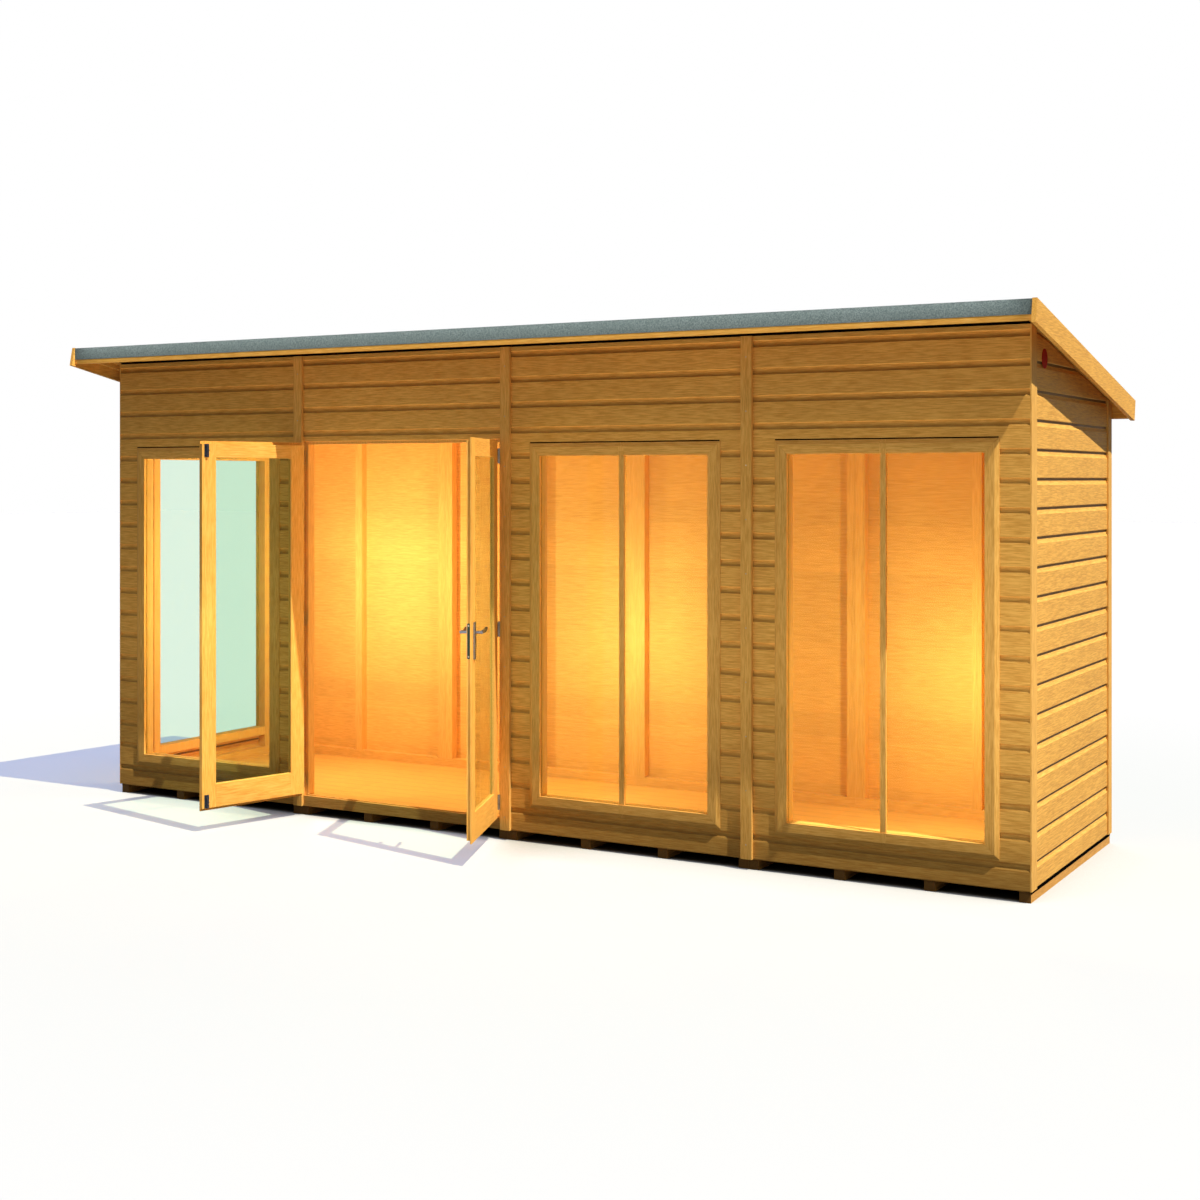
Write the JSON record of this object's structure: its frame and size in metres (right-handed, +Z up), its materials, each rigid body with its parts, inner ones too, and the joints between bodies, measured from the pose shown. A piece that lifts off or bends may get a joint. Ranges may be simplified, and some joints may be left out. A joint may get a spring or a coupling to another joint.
{
  "type": "summerhouse",
  "caption": "Pent-roofed timber summerhouse with shiplap walls, tall windows, glazed double doors, a boarded floor on bearers and a felted roof.",
  "frame": {"origin": "on the ground at the middle of the body's plan, under the bearers at the middle panel joint", "axes": "+X along the front, towards the plain end wall; +Y from the front to the back; +Z up"},
  "size_m": [4.936, 1.9333, 2.2898],
  "materials": {
    "bearer_wood": "rough sawn timber",
    "deck_wood": "sawn board",
    "cladding_wood": "planed, dip treated",
    "batten_wood": "planed",
    "joinery_wood": "planed, dip treated",
    "trim_wood": "planed, dip treated",
    "door_wood": "planed, dip treated",
    "glazing": "clear",
    "hinge_steel": "zinc plated",
    "bolt_metal": "satin",
    "lock_metal": "satin",
    "handle_metal": "satin",
    "felt": "mineral surfaced sheet"
  },
  "bodies": {
    "house": {"floor_bearers": "bearer_wood", "floor_decks": "deck_wood", "front_cladding_1": "cladding_wood", "front_cladding_2": "cladding_wood", "front_cladding_3": "cladding_wood", "front_cladding_4": "cladding_wood", "rear_cladding": "cladding_wood", "left_cladding": "cladding_wood", "right_cladding": "cladding_wood", "front_frame_1": "batten_wood", "front_frame_2": "batten_wood", "front_frame_3": "batten_wood", "front_frame_4": "batten_wood", "rear_frame": "batten_wood", "left_frame": "batten_wood", "right_frame": "batten_wood", "window_frame_1": "joinery_wood", "window_frame_3": "joinery_wood", "window_frame_4": "joinery_wood", "window_frame_left": "joinery_wood", "window_glass_front": "glazing", "window_glass_left": "glazing", "front_cover_strips": "trim_wood", "corner_strips": "trim_wood", "door_jambs": "trim_wood", "door_sill": "trim_wood", "door_hinge_posts": "hinge_steel", "roof_decks": "trim_wood", "roof_rafters": "batten_wood", "roof_felt": "felt", "front_fascia": "trim_wood", "rear_fascia": "trim_wood", "bargeboard_left": "trim_wood", "bargeboard_right": "trim_wood", "roof_end_battens": "trim_wood"},
    "left_door": {"door_left_leaf": "door_wood", "door_left_pane": "glazing", "door_left_hinges": "hinge_steel", "door_left_bolts": "bolt_metal"},
    "right_door": {"door_right_leaf": "door_wood", "door_right_pane": "glazing", "door_right_hinges": "hinge_steel", "door_right_lock": "lock_metal", "door_right_plates": "handle_metal"},
    "door_handle": {"door_right_levers": "handle_metal"}
  },
  "joints": [
    {"name": "left_door_swing", "type": "hinge", "parent": "house", "child": "left_door", "pos_m": [-1.1625, -0.6645, 1], "axis": [0, 0, 1], "range_deg": [-64.5, 105.5]},
    {"name": "right_door_swing", "type": "hinge", "parent": "house", "child": "right_door", "pos_m": [-0.0275, -0.6645, 1], "axis": [0, 0, -1], "range_deg": [-58, 112]},
    {"name": "handle_turn", "type": "hinge", "parent": "right_door", "child": "door_handle", "pos_m": [0.15012, -1.14818, 0.98], "axis": [-0.9272, -0.3746, 0], "range_deg": [0, 45], "stiffness_Nm_per_rad": 1, "springref_deg": -22.92}
  ]
}
